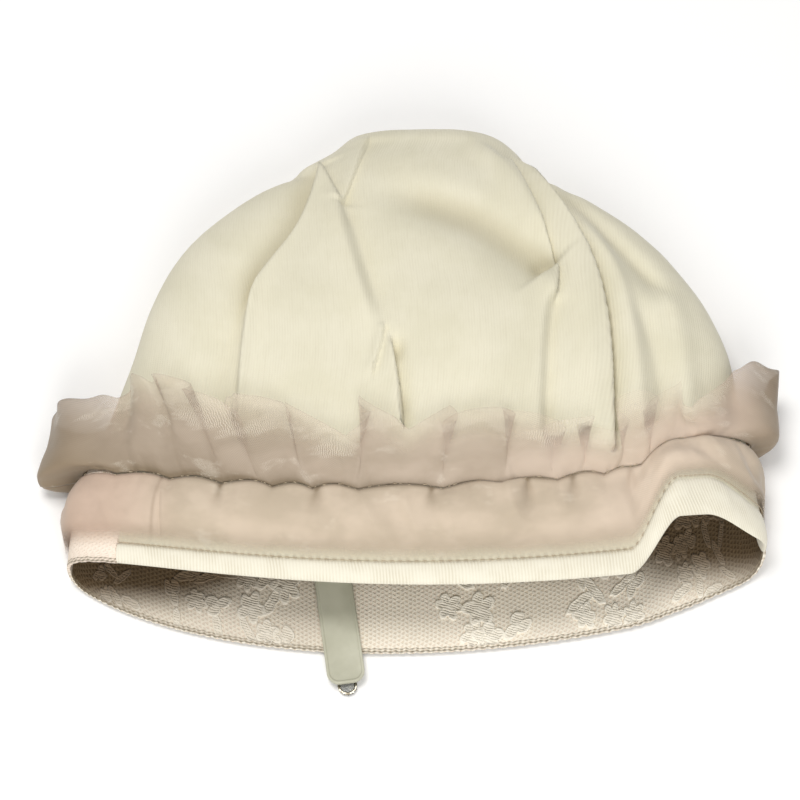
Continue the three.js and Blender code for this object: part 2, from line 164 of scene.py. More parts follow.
def bagFrame(turn, t):
    small = 0.004
    round_ = bagPoint(turn + small, t) - bagPoint(turn - small, t)
    along = bagPoint(turn, np.minimum(1, t + small)) - bagPoint(turn, np.maximum(0, t - small))
    return bagPoint(turn, t), unit(np.cross(round_, along))


def leftEdge(t):
    seam = bag["leftSeam"]
    return -lerp(seam["hemTurn"], 1, ease(t, seam["start"], seam["end"]))


# Smooth noise from -1 to 1 on a lattice, the same at every run.
def waver(x, y, seed):
    size = 64
    table = np.random.default_rng(seed).uniform(-1, 1, (size, size))
    i, j = np.floor(x).astype(int), np.floor(y).astype(int)
    u, v = ease(x - i, 0, 1), ease(y - j, 0, 1)
    low = lerp(table[i % size, j % size], table[(i + 1) % size, j % size], u)
    high = lerp(table[i % size, (j + 1) % size], table[(i + 1) % size, (j + 1) % size], u)
    return lerp(low, high, v)


# Folds of the front, going down their lines: the cloth's height at each side of the line, how far each side
# reaches, how sharp the edge between them is, how far the left side laps over the right, and end fades. The
# lines' points were picked on the photograph, projected onto the hat and then adjusted.
foldColumns = ["left", "right", "wideLeft", "wideRight", "edge", "lap", "fadeStart", "fadeEnd", "line"]
foldRows = [
    # The crown's left: a light flap between two crisp lines, with a hollow at each side of it.
    (1.5, -0.7, 4, 6, 0.4, 0.5, 0.1, 0.05, [(-13.9, 90), (-18.3, 71.4), (-23, 56.5)]),
    (1.1, -1.3, 6, 7, 0.5, 0.5, 0.02, 0.6, [(-30.4, 78), (-26, 66), (-23, 56), (-19, 42)]),
    (1.9, -1.9, 8, 7, 2.6, 0, 0.3, 0.3, [(-27, 66), (-23, 56), (-18.9, 40.4), (-14, 22), (-9, 4)]),
    (-4, 0.6, 9, 4, 1.3, 0, 0.05, 0.3,
     [(-30.9, 78), (-33.5, 60), (-38, 46), (-46, 34), (-51.5, 22), (-55, 6)]),
    (-1.8, 2.4, 2.5, 3, 1, 0, 0.3, 0.01, [(-46, 40), (-50.5, 24.6), (-52, 15.4), (-53.3, 3), (-54.6, -24)]),
    (-2.2, -2.2, 8, 3, 1, 0, 0.4, 0.01, [(-52, 24), (-57, 8), (-60, -24)]),
    # The short crease in the middle, and the small flap beside it.
    (1.9, -2.8, 3, 4, 0.45, 1.2, 0.22, 0.01, [(-7.2, 6), (-6.1, -4), (-4.7, -12.4), (-3.6, -26)]),
    (1.2, -0.9, 2, 2, 0.4, 0.4, 0.1, 0.2, [(-8.4, 9), (-10.4, -0.7), (-13.1, -10.3)]),
    # The dip across the crown, and the crest between it and the folds at the right.
    (-4.1, -4.1, 10, 7, 1, 0, 0.45, 0.02, [(-20, 62), (4, 59), (22, 51), (35, 40), (44.5, 31)]),
    (2.4, 2.4, 5, 3, 1, 0, 0.3, 0.2, [(18, 90), (30, 74), (38, 53), (43, 40)]),
    (0.9, -1.6, 3, 3, 0.4, 0.9, 0.05, 0.1, [(31.5, 80), (40, 54), (45.2, 37), (46.5, 30.7), (44.3, 16.2)]),
    (0.3, -3, 4, 4, 2.2, 0, 0.1, 0.01, [(44.5, 22), (42, 6), (40.6, -18), (41, -28)]),
    # The deep fold at the right, its lip, and the soft folds beyond it.
    (1.7, 1.7, 4, 3, 1, 0, 0.2, 0.01, [(42, 74), (51, 42), (55.5, 18), (56.5, -26)]),
    (0.9, -4.8, 3, 4.5, 0.5, 2.6, 0.1, 0.01,
     [(35, 84), (46.6, 56), (55.2, 38), (59.3, 19), (60.6, -1), (60.4, -32)]),
    (1.8, 1.8, 4, 3, 1, 0, 0.3, 0.01, [(52, 62), (64, 36), (69, 12), (71.5, -24)]),
    (-1.7, -1.7, 3, 4, 1, 0, 0.3, 0.01, [(70, 24), (75.5, 10), (80, -24)]),
    (1.3, 1.3, 3, 4, 1, 0, 0.3, 0.01, [(77, 34), (85, 15), (86, -22)]),
    (-2.4, -2.4, 5, 3, 1, 0, 0.2, 0.2, [(47, 74), (60, 52), (72, 37), (84, 20)]),
]
folds = [dict(zip(foldColumns, row)) for row in foldRows]
swellColumns = ["x", "y", "wide", "long", "height"]
swells = [dict(zip(swellColumns, row)) for row in [
    (18, 4, 19, 24, 2.8),  # the round swell in the middle
    (42.5, 33, 3.5, 4, -2.2),  # dimple at the end of the dip
    (43.2, 23, 2.6, 6, 1.4),  # small light flap under it
    (-4.4, 0.5, 2.2, 4, -1.6),  # dark ends of the short crease
    (-2.6, -19, 2, 4, -1.4),
    (-71, 12, 13, 30, 1.5),
    (-34, 10, 14, 30, 1.7),
]]
foldEnds = {"start": (0.12, 0.2), "end": (0.92, 0.99), "seam": 0.35}


# A line through its points with the corners cut off.
def rounded(line, times=3):
    points = np.array(line, float)
    for _ in range(times):
        near = lerp(points[:-1], points[1:], 0.25)
        far = lerp(points[:-1], points[1:], 0.75)
        inner = np.stack([near, far], 1).reshape(-1, 2)
        points = np.concatenate([points[:1], inner, points[-1:]])
    return points


# Distance from a line, positive to its right going down it, the way to its right, and the share of it there.
def alongLine(line, x, y):
    points = rounded(line)
    lengths = np.linalg.norm(np.diff(points, axis=0), axis=1)
    ends = np.concatenate([[0], np.cumsum(lengths)])
    best = np.full(x.shape, np.inf)
    signed, share = np.zeros(x.shape), np.zeros(x.shape)
    rightX, rightY = np.zeros(x.shape), np.zeros(x.shape)
    for i, length in enumerate(lengths):
        (ax, ay), (dx, dy) = points[i], (points[i + 1] - points[i]) / length
        u = np.clip((x - ax) * dx + (y - ay) * dy, 0, length)
        ox, oy = x - ax - u * dx, y - ay - u * dy
        distance = np.hypot(ox, oy)
        nearer = distance < best
        best = np.where(nearer, distance, best)
        signed = np.where(nearer, np.where(dx * oy - dy * ox > 0, distance, -distance), signed)
        share = np.where(nearer, (ends[i] + u) / ends[-1], share)
        rightX, rightY = np.where(nearer, -dy, rightX), np.where(nearer, dx, rightY)
    return signed, share, np.stack([rightX, rightY], -1)


# Height of the folds over the smooth front, and how far the cloth is pushed sideways in them.
def foldsAt(points, turn, t):
    x, y = points[..., 0], points[..., 1]
    height, shift = np.zeros(x.shape), np.zeros(x.shape + (2,))
    for fold in folds:
        signed, share, right = alongLine(fold["line"], x, y)
        fade = ease(share, 0, fold["fadeStart"]) * ease(1 - share, 0, fold["fadeEnd"])
        side = ease(signed, -fold["edge"], fold["edge"])
        low = fold["left"] * np.exp(-((signed / fold["wideLeft"]) ** 2))
        high = fold["right"] * np.exp(-((signed / fold["wideRight"]) ** 2))
        height += lerp(low, high, side) * fade
        reach = np.where(signed > 0, fold["edge"], fold["wideLeft"])
        lap = fold["lap"] * np.exp(-((signed / reach) ** 2)) * fade
        shift += right * lap[..., None]
    for swell in swells:
        far = ((x - swell["x"]) / swell["wide"]) ** 2 + ((y - swell["y"]) / swell["long"]) ** 2
        height += swell["height"] * np.exp(-far)
    start, end, seam = foldEnds["start"], foldEnds["end"], foldEnds["seam"]
    keep = ease(np.cos(turn * math.pi / 2), 0, seam) * ease(t, *start) * (1 - ease(t, *end))
    return height * keep, shift * keep[..., None]


# Node materials: a wire is a socket that does arithmetic, and a finish is a material in the making.
class Wire:
    def __init__(self, finish, socket):
        self.finish = finish
        self.socket = socket

    def maths(self, operation, *others):
        values = dict(enumerate((self, *others)))
        return self.finish.node("ShaderNodeMath", {"operation": operation}, values)

    def __add__(self, other):
        return self.maths("ADD", other)

    def __sub__(self, other):
        return self.maths("SUBTRACT", other)

    def __mul__(self, other):
        return self.maths("MULTIPLY", other)

    def __rsub__(self, other):
        return self.finish.node("ShaderNodeMath", {"operation": "SUBTRACT"}, {0: other, 1: self})

    __radd__ = __add__
    __rmul__ = __mul__

    def sine(self):
        return self.maths("SINE")

    def rise(self, start, end, low=0.0, high=1.0):
        names = ["Value", "From Min", "From Max", "To Min", "To Max"]
        values = dict(zip(names, [self, start, end, low, high]))
        return self.finish.node("ShaderNodeMapRange", {"interpolation_type": "SMOOTHSTEP"}, values)


class Finish:
    def __init__(self, name):
        self.material = bpy.data.materials.new(name)
        self.material.use_nodes = True
        self.tree = self.material.node_tree
        self.tree.nodes.clear()

    def node(self, kind, settings=None, sockets=None, out=0):
        made = self.tree.nodes.new(kind)
        for name, value in (settings or {}).items():
            setattr(made, name, value)
        for name, value in (sockets or {}).items():
            if isinstance(value, Wire):
                self.tree.links.new(value.socket, made.inputs[name])
            else:
                made.inputs[name].default_value = value
        return Wire(self, made.outputs[out])

    # The piece's own pattern coordinates, in millimetres of cloth.
    def cloth(self, scale=(1, 1)):
        uv = self.node("ShaderNodeUVMap", {"uv_map": "cloth"})
        size = (clothSpan * scale[0], clothSpan * scale[1], 1)
        values = {"Vector": uv, "Scale": size}
        return self.node("ShaderNodeMapping", None, values)

    def parts(self, vector):
        split = self.tree.nodes.new("ShaderNodeSeparateXYZ")
        self.tree.links.new(vector.socket, split.inputs[0])
        return Wire(self, split.outputs[0]), Wire(self, split.outputs[1])

    def noise(self, vector, scale, detail=2.0, roughness=0.5):
        values = {"Vector": vector, "Scale": scale, "Detail": detail, "Roughness": roughness}
        return self.node("ShaderNodeTexNoise", None, values)

    def mix(self, factor, a, b):
        return self.node("ShaderNodeMix", {"data_type": "RGBA"}, {0: factor, 6: a, 7: b}, 2)

    def attribute(self, name):
        return self.node("ShaderNodeAttribute", {"attribute_name": name}, out=2)

    def bump(self, height, distance, strength=1.0):
        values = {"Height": height, "Distance": distance * metre, "Strength": strength}
        return self.node("ShaderNodeBump", None, values)

    def close(self, sockets):
        surface = self.node("ShaderNodeBsdfPrincipled", None, sockets)
        output = self.tree.nodes.new("ShaderNodeOutputMaterial")
        self.tree.links.new(surface.socket, output.inputs["Surface"])
        return self.material


clothSpan = 400.0  # millimetres of cloth across the whole pattern map
weldWithin = 0.02  # millimetres, between points that are sewn into one


def shade(red, green, blue):
    values = []
    for part in (red, green, blue):
        part = part / 255
        values.append(part / 12.92 if part < 0.04045 else ((part + 0.055) / 1.055) ** 2.4)
    return (*values, 1.0)


# A sheet of cloth: a grid whose points placeAt(u, v) gives, u round and v along. Its pattern map is in
# millimetres of cloth: from smoothAt where the cloth is plain, with its middle where middleAt is 0, or from
# cutWidth where it is gathered. A ring's first and last columns are sewn together, and so are a tube's first
# and last rows, with its ends filled.
def clothSheet(name, size, placeAt, thick, offset=-1.0, ring=False, marks=None, smoothAt=None, cutWidth=None,
               middleAt=None, tube=False):
    columns, rows = size
    mesh = bmesh.new()
    layer = mesh.loops.layers.uv.new("cloth")
    bmesh.ops.create_grid(mesh, x_segments=columns, y_segments=rows, size=0.5, calc_uvs=True)
    mesh.verts.ensure_lookup_table()
    flat = np.array([vertex.co[:2] for vertex in mesh.verts]) + 0.5
    i = np.rint(flat[:, 0] * columns).astype(int)
    j = np.rint(flat[:, 1] * rows).astype(int)
    u, v = np.meshgrid(np.arange(columns + 1) / columns, np.arange(rows + 1) / rows, indexing="ij")
    points = placeAt(u, v)
    smooth = smoothAt(u, v) if smoothAt else points
    across = np.cumsum(np.linalg.norm(np.diff(smooth, axis=0, prepend=smooth[:1]), axis=-1), 0)
    across = (u - 0.5) * cutWidth if cutWidth else across - across[columns // 2]
    if middleAt:
        signs = middleAt(u, v)
        across -= np.array([np.interp(0, signs[:, row], across[:, row]) for row in range(rows + 1)])
    along = np.cumsum(np.linalg.norm(np.diff(smooth, axis=1, prepend=smooth[:, :1]), axis=-1), 1)
    for vertex, place in zip(mesh.verts, (points + [*bag["middle"], 0])[i, j] * metre):
        vertex.co = place
    pattern = np.stack([across, along], -1)[i, j] / clothSpan + 0.5
    for face in mesh.faces:
        for loop in face.loops:
            loop[layer].uv = pattern[loop.vert.index]
        face.smooth = True
    made = bpy.data.meshes.new(name)
    mesh.to_mesh(made)
    mesh.free()
    for markName, values in (marks(u, v) if marks else {}).items():
        mark = made.attributes.new(markName, "FLOAT", "POINT")
        mark.data.foreach_set("value", values[i, j].astype(np.float32))
    if ring or tube:
        joined = bmesh.new()
        joined.from_mesh(made)
        joined.verts.ensure_lookup_table()
        seam = np.flatnonzero(i % columns == 0 if ring else j % rows == 0)
        bmesh.ops.remove_doubles(joined, verts=[joined.verts[k] for k in seam], dist=weldWithin * metre)
        if tube:
            ends = [edge for edge in joined.edges if edge.is_boundary]
            bmesh.ops.holes_fill(joined, edges=ends, sides=0)
            bmesh.ops.recalc_face_normals(joined, faces=joined.faces)
        joined.to_mesh(made)
        joined.free()
    piece = bpy.data.objects.new(name, made)
    scene.collection.objects.link(piece)
    if thick:
        wall = piece.modifiers.new("wall", "SOLIDIFY")
        wall.thickness = thick * metre
        wall.offset = offset
    return piece


def dress(piece, material, slot, *nodes):
    piece.data.materials.clear()
    piece.data.materials.append(material)
    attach(piece, "root")
    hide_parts(*nodes)


# Places along a curve at even steps of its length.
def evenly(curveAt, start, end, samples=601):
    values = np.linspace(start, end, samples)
    points = curveAt(values)
    lengths = np.cumsum(np.linalg.norm(np.diff(points, axis=0, prepend=points[:1]), axis=-1))
    return lambda share: np.interp(share, lengths / lengths[-1], values)


print("the bag is worked out")


# Front: cream cotton jersey, with its wales going up the hat.
front = {"columns": 300, "rows": 160, "wall": 1.3, "crumple": 0.2, "wale": 0.87, "course": 0.7,
         "flat": (0.262, 0.196), "area": 0.037}
acrossFront = evenly(lambda turn: bagPoint(turn, 0.4), -1, 1)
alongFront = evenly(lambda t: bagPoint(1.0, t), hemTop, 1)


def frontTurn(u, v):
    t = alongFront(v)
    return lerp(leftEdge(t), 1, (acrossFront(u) + 1) / 2), t


def frontSmooth(u, v):
    return bagPoint(*frontTurn(u, v))


def frontPlace(u, v):
    turn, t = frontTurn(u, v)
    points, normals = bagFrame(turn, t)
    height, shift = foldsAt(points, turn, t)
    x, y = points[..., 0], points[..., 1]
    soft = waver(x / 17, y / 23, 3) + 0.5 * waver(x / 8, y / 13, 4) + 0.2 * waver(x / 3.5, y / 5, 5)
    fade = ease(np.cos(turn * math.pi / 2), 0, 0.3) * (1 - ease(t, 0.9, 1))
    points = points + normals * (height + front["crumple"] * soft * fade)[..., None]
    points[..., :2] += shift
    return points


# How deep a place lies in a fold, for painted shade in the cloth's creases.
def frontMarks(u, v):
    turn, t = frontTurn(u, v)
    height, _ = foldsAt(bagPoint(turn, t), turn, t)
    return {"hollow": ease(-height, 0.8, 4.5)}


def jerseyFinish():
    finish = Finish("cream_jersey")
    cloth = finish.cloth()
    x, y = finish.parts(cloth)
    sway = finish.noise(cloth, 0.03, 1.0)
    wale = ((x + sway * 1.5) * (2 * math.pi / front["wale"])).sine()
    course = (y * (2 * math.pi / front["course"])).sine()
    fuzz = finish.noise(cloth, 2.4, 3.0, 0.65)
    cloud = finish.noise(cloth, 0.045, 4.0, 0.6)
    slub = finish.noise(finish.cloth((1.0, 0.12)), 0.9, 3.0, 0.6)
    color = finish.mix(cloud.rise(0.3, 0.7), shade(216, 211, 188), shade(223, 218, 197))
    color = finish.mix((wale * 0.5 + 0.5) * slub.rise(0.35, 0.75, 0.08, 0.4), color, shade(204, 197, 175))
    # Painted shade: the cloth darkens in the folds' hollows.
    color = finish.mix(finish.attribute("hollow") * 0.6, color, shade(190, 181, 152))
    normal = finish.bump(wale * 0.35 + course * 0.12 + fuzz * 0.7, 0.1, 0.6)
    return finish.close({
        "Base Color": color, "Roughness": fuzz.rise(0.2, 0.8, 0.8, 0.95), "Normal": normal,
        "Sheen Weight": 0.2, "Sheen Roughness": 0.5, "Specular IOR Level": 0.2,
    })


frontPiece = clothSheet("front_jersey", (front["columns"], front["rows"]), frontPlace, front["wall"],
                        marks=frontMarks, smoothAt=frontSmooth, middleAt=lambda u, v: frontTurn(u, v)[0])
dress(frontPiece, jerseyFinish(), "front_jersey", "front_panel")
print("front panel sewn")


# Back: lace over net, from the nape hem to the crown, which comes a little way onto the front at the left.
# The deep range, its shifts and the left's share place the lining's painted shade under the hem and along the
# left.
back = {"columns": 260, "rows": 120, "wall": 1.0, "scallop": 2.6, "proud": 0.45, "net": 1.25, "border": 1.2,
        "deep": (-68, -48), "deepLeft": 9, "deepRight": 4, "leftShade": 0.26,
        "flat": (0.25, 0.2), "area": 0.041}
alongBack = evenly(lambda t: bagPoint(1.0, t), 0, 1)
acrossBack = evenly(lambda turn: bagPoint(turn, 0.04), 1, 3)
backLength = 236.0


def backTurn(u, v):
    t = alongBack(v)
    return lerp(1, leftEdge(t) + 4, (acrossBack(u) - 1) / 2), t


def backPlace(u, v):
    turn, t = backTurn(u, v)
    points = bagPoint(turn, t)
    scallop = np.abs(np.sin(u * backLength / back["scallop"] * math.pi)) - 0.5
    points[..., 1] -= back["proud"] * scallop * (1 - ease(v, 0, 0.03)) * np.where(turn < 3, 1, 0.6)
    return points


# How far in under the front's hem a place of the lining is, for painted shade there. The painted shade runs
# all along the left as well.
def hemShade(x, y):
    further = back["deepLeft"] * ease(-x, 35, 75) + back["deepRight"] * ease(x, 68, 84)
    return np.clip(ease(y + further, *back["deep"]) + back["leftShade"] * ease(-x, 5, 35), 0, 1)


def backMarks(u, v):
    turn, t = backTurn(u, v)
    points = bagPoint(turn, t)
    side = ease(turn, 2.95, 3.02)
    return {"outside": side, "shade": hemShade(points[..., 0], points[..., 1]) * (1 - side)}


def laceFinish(name, inside):
    finish = Finish(name)
    cloth = finish.cloth()
    x, y = finish.parts(cloth)
    pitch = 2 * math.pi / back["net"]
    threads = (x * pitch).sine() + (x * (pitch / 2) + y * (0.866 * pitch)).sine()
    threads = threads + (x * (pitch / 2) - y * (0.866 * pitch)).sine()
    hole = threads.rise(-0.6, 1.4)
    tone = finish.noise(cloth, 0.05, 3.0).rise(0.35, 0.65)
    outside = finish.attribute("outside")
    # Painted shade inside: the lining and strands darken under the front's hem and along the left.
    deep = finish.attribute("shade") * inside
    lining = finish.mix(tone, shade(232, 219, 199), shade(240, 225, 207))
    lining = finish.mix(deep, lining, shade(86, 70, 50))
    strand = finish.mix(deep, shade(246, 238, 222), shade(106, 89, 67))
    color = finish.mix(hole, strand, lining)
    color = finish.mix(outside * 0.7, color, shade(244, 227, 211))
    border = (y - clothSpan / 2).rise(back["border"], back["border"] + 0.4, 1.0, 0.0)
    cord = (x * (2 * math.pi / 1.7)).sine() * 0.25 + (y * 7.0).sine() * 0.35
    color = finish.mix(border * (cord + 0.4), color, shade(152, 139, 117))
    height = hole * -0.4 + border * cord
    return finish.close({
        "Base Color": color, "Roughness": 0.9, "Normal": finish.bump(height, 0.35, 0.9),
        "Specular IOR Level": 0.15,
    })


backPiece = clothSheet("back_lace", (back["columns"], back["rows"]), backPlace, back["wall"], marks=backMarks)
dress(backPiece, laceFinish("lace_net", 0.0), "back_lace", "back_panel")
backPiece.data.materials.append(laceFinish("lace_inside", 1.0))
backPiece.modifiers["wall"].material_offset = 1
backPiece.modifiers["wall"].material_offset_rim = 0

# The lace's flowers and leaves: flattened balls drawn out to a petalled outline with a cord along it.
# Each kind has its radius in millimetres, its number of lobes, how deep they are cut, and how long it is.
flower = {"turns": 36, "rings": 12, "cord": 0.4, "fill": 0.16, "sunk": 0.3, "lowest": 0.1, "jitter": 1.6,
          "bare": 0.1, "between": 0.93, "seed": 7}
flowerScale = {"turn": backLength / 2, "t": 160.0}
sprays = [(-92, 7), (-66, 9), (-45, 9), (22, 12), (61, 11), (88, 11)]  # inside: place across, and half width
flowerKinds = [
    {"radius": 3.9, "lobes": 5, "cut": 0.5, "long": 1.0},
    {"radius": 3.1, "lobes": 6, "cut": 0.4, "long": 1.1},
    {"radius": 3.0, "lobes": 3, "cut": 0.6, "long": 1.35},
    {"radius": 2.2, "lobes": 2, "cut": 0.35, "long": 1.8},
    {"radius": 1.9, "lobes": 2, "cut": 0.3, "long": 2.1},
]
flowerBeds = [  # inside or not, turn from and to, t from and to, the lattice's steps in millimetres
    (True, 1.05, 2.93, 0.016, 0.16, 5.6, 5.2),
    (False, 1.06, 1.4, 0.32, 0.9, 10.5, 10.0),
    (False, 2.6, 2.94, 0.38, 0.9, 10.5, 10.0),
]


def flowerPoints(ball, random, turn, t, inside):
    kind = flowerKinds[random.integers(len(flowerKinds))]
    angle, spread = np.arctan2(ball[:, 1], ball[:, 0]), np.hypot(ball[:, 0], ball[:, 1])
    lobe = np.abs(np.cos(angle * kind["lobes"] / 2))
    wobble = 1 + 0.07 * np.sin(angle * 3 + random.uniform(0, 6))
    wobble = wobble + 0.05 * np.sin(angle * 7 + random.uniform(0, 6))
    radius = spread * kind["radius"] * (1 - kind["cut"] + kind["cut"] * lobe**0.7) * wobble
    cord = np.exp(-(((spread - 0.9) / 0.09) ** 2)) + 0.8 * np.exp(-((spread / 0.2) ** 2))
    vein = 0.5 * np.exp(-((lobe / 0.25) ** 2)) * ease(spread, 0.15, 0.4)
    raised = flower["fill"] + flower["cord"] * np.maximum(cord, vein)
    height = np.where(ball[:, 2] > 0.001, raised, np.where(spread > 0.995, 0, -flower["sunk"]))
    a, b = radius * np.cos(angle) * kind["long"], radius * np.sin(angle) / kind["long"] ** 0.5
    spin = random.uniform(0, 2 * math.pi)
    across = (a * math.cos(spin) - b * math.sin(spin)) * (-1 if inside else 1)
    along = a * math.sin(spin) + b * math.cos(spin)
    points, normals = bagFrame(turn + across / flowerScale["turn"],
                               np.maximum(0.004, t + along / flowerScale["t"]))
    points += normals * (-(back["wall"] + height) if inside else height)[:, None]
    points[:, 2] = np.maximum(points[:, 2], flower["lowest"])
    # Painted shade on the flowers inside, as on the lining.
    deep = hemShade(points[:, 0], points[:, 1]) if inside else 0 * cord
    return points, np.clip(np.maximum(cord, vein), 0, 1), deep


def flowerFinish():
    finish = Finish("lace_flower")
    at = finish.node("ShaderNodeTexCoord", out=3)
    x, y = finish.parts(at)
    sway = finish.noise(at, 500.0, 2.0)
    rows = ((y + x * 0.3 + sway * 0.0012) * (2 * math.pi / 0.00085)).sine()
    tone = finish.noise(at, 160.0, 3.0).rise(0.3, 0.7)
    cord = finish.attribute("cord")
    color = finish.mix(tone, shade(246, 238, 222), shade(252, 246, 232))
    color = finish.mix((rows * 0.5 + 0.5) * 0.3, color, shade(206, 192, 168))
    color = finish.mix(cord, color, shade(252, 246, 232))
    # Painted shade: the flowers inside darken under the front's hem and along the left.
    color = finish.mix(finish.attribute("deep"), color, shade(116, 98, 76))
    return finish.close({
        "Base Color": color, "Roughness": 0.8, "Normal": finish.bump(rows * (1 - cord) + sway, 0.12, 0.8),
        "Sheen Weight": 0.2, "Specular IOR Level": 0.25,
    })


def makeFlowers():
    random = np.random.default_rng(flower["seed"])
    one = bmesh.new()
    bmesh.ops.create_uvsphere(one, u_segments=flower["turns"], v_segments=flower["rings"], radius=1.0)
    ball = np.array([vertex.co[:] for vertex in one.verts])
    for face in one.faces:
        face.smooth = True
    template = bpy.data.meshes.new("ball")
    one.to_mesh(template)
    one.free()
    places = []
    for inside, turnFrom, turnTo, tFrom, tTo, stepAcross, stepAlong in flowerBeds:
        columns = max(1, round((turnTo - turnFrom) * flowerScale["turn"] / stepAcross))
        rows = max(1, round((tTo - tFrom) * flowerScale["t"] / stepAlong))
        for column in range(columns):
            for row in range(rows + 1):
                drawn = random.uniform()
                shift = random.uniform(-flower["jitter"], flower["jitter"], 2)
                turn = lerp(turnFrom, turnTo, (column + 0.5 * (row % 2) + 0.25) / columns)
                t = lerp(tFrom, tTo, row / rows)
                x = bagPoint(turn, t)[0]
                inSpray = not inside or any(abs(x - place) < wide for place, wide in sprays)
                if drawn > (flower["bare"] if inSpray else flower["between"]):
                    middle = turn + shift[0] / flowerScale["turn"], t + shift[1] / flowerScale["t"]
                    places.append(flowerPoints(ball, random, *middle, inside))
    mesh = bmesh.new()
    for _ in places:
        mesh.from_mesh(template)
    bpy.data.meshes.remove(template)
    points, cords, depths = (np.concatenate(parts) for parts in zip(*places))
    for vertex, place in zip(mesh.verts, (points + [*bag["middle"], 0]) * metre):
        vertex.co = place
    made = bpy.data.meshes.new("lace_flowers")
    mesh.to_mesh(made)
    mesh.free()
    for markName, values in (("cord", cords), ("deep", depths)):
        mark = made.attributes.new(markName, "FLOAT", "POINT")
        mark.data.foreach_set("value", values.astype(np.float32))
    piece = bpy.data.objects.new("lace_flowers", made)
    scene.collection.objects.link(piece)
    dress(piece, flowerFinish(), "back_lace", "back_panel")
    return piece


flowers = makeFlowers()
print("back panel sewn")


# Organza, as its two rings: a puffed band under the gathers and a free frill above them.
def looseness(turn):
    turned = unwound(turn)
    past = np.minimum(turned - 1, 3 - turned)
    return np.where(turned <= 1, 1, 1 - ease(past, 0, 0.3))


# The girth is a round figure, a little under the hat's own at the gathers. The strip's cut length is a guess
# that suits the cloth modelled here, and the real one is likely longer.
organza = {"girth": 440.0, "cut": 620.0, "gap": 0.3, "weave": 0.62, "spark": 0.7, "scallop": 17.0,
           "sway": 0.0075}
organzaTurns = evenly(lambda turn: bagPoint(turn, gatherLine), -1, 3)


def sideness(turn, power=8):
    return np.abs(2 * shareAcross(turn) - 1) ** power


# Where the gathers run: in small scallops along the front, between the places where the thread pulls them in.
def gatherAt(u):
    turn, s = organzaTurns(u), u * organza["girth"]
    scallops = np.abs(np.sin(math.pi * (s / organza["scallop"] + 0.6 * waver(s / 31, 0 * s, 61)))) - 0.6
    return gatherLine + organza["sway"] * scallops * looseness(turn) * (1 - sideness(turn))


def organzaFinish(name, light, dark):
    finish = Finish(name)
    cloth = finish.cloth()
    x, y = finish.parts(cloth)
    weave = (x * (2 * math.pi / organza["weave"])).sine() * (y * (2 * math.pi / organza["weave"])).sine()
    x, y = x + finish.noise(cloth, 0.7, 2.0) * 0.8, y + finish.noise(cloth, 0.9, 2.0) * 0.6
    y = y * 1.4
    # Painted highlights: the weave's glints as bright specks in patches, also a little more opaque and
    # raised.
    turns = 2 * math.pi / organza["spark"]
    spark = ((x + y) * turns).sine() * ((x - y) * turns).sine()
    patch = finish.noise(finish.cloth((0.5, 1.0)), 0.12, 3.0, 0.6) + finish.attribute("sparkle")
    patch = patch.rise(0.56, 0.68)
    cloud = finish.noise(finish.cloth((0.6, 1.0)), 0.09, 3.0, 0.55).rise(0.3, 0.7)
    glintSpecks = spark.rise(0.25, 0.8) * patch * 0.85
    color = finish.mix(cloud, light, dark)
    # The depth mark darkens the cloth: painted shade in the gathers, creases and sides, partly the denser
    # layers there.
    color = finish.mix(finish.attribute("depth"), color, shade(142, 125, 103))
    color = finish.mix(finish.attribute("blush"), color, shade(216, 184, 167))
    color = finish.mix(finish.attribute("pale"), color, shade(238, 218, 200))
    color = finish.mix(glintSpecks, color, shade(250, 242, 226))
    alpha = finish.attribute("cover") + weave * 0.05 + cloud * 0.06 + glintSpecks * 0.35
    return finish.close({
        "Base Color": color, "Roughness": 0.6, "Alpha": alpha.rise(0.0, 1.0),
        "Normal": finish.bump(weave * 0.25 + glintSpecks * 0.8, 0.08, 0.5),
        "Sheen Weight": 0.25, "Sheen Roughness": 0.4, "Specular IOR Level": 0.25,
    })


band = {"columns": 1100, "rows": 28, "wall": 0.35, "puff": 2.5, "foot": 0.7, "below": 0.006, "over": 2.6,
        "rumple": 0.6, "lowest": 0.4, "flat": (0.62, 0.028)}
# Pinches under the gathers, dented and darkened with painted shade, and the strip's seam: place along the
# hat, width and depth.
pinches = [(-58, 2.0, 1.2), (-28.6, 2.8, 2.8), (6, 2.4, 2.4), (35.2, 2.4, 3), (49, 2.6, 2.6), (67, 2.6, 2.6)]
stripSeam = -76.4


def ribWide(x):
    return 1 + 0.9 * archShare(x)


def bandStart(turn):
    x = bagPoint(turn, hemTop)[..., 0]
    return hemTop * np.where(unwound(turn) > 1, 1, ribWide(x)) - band["below"]


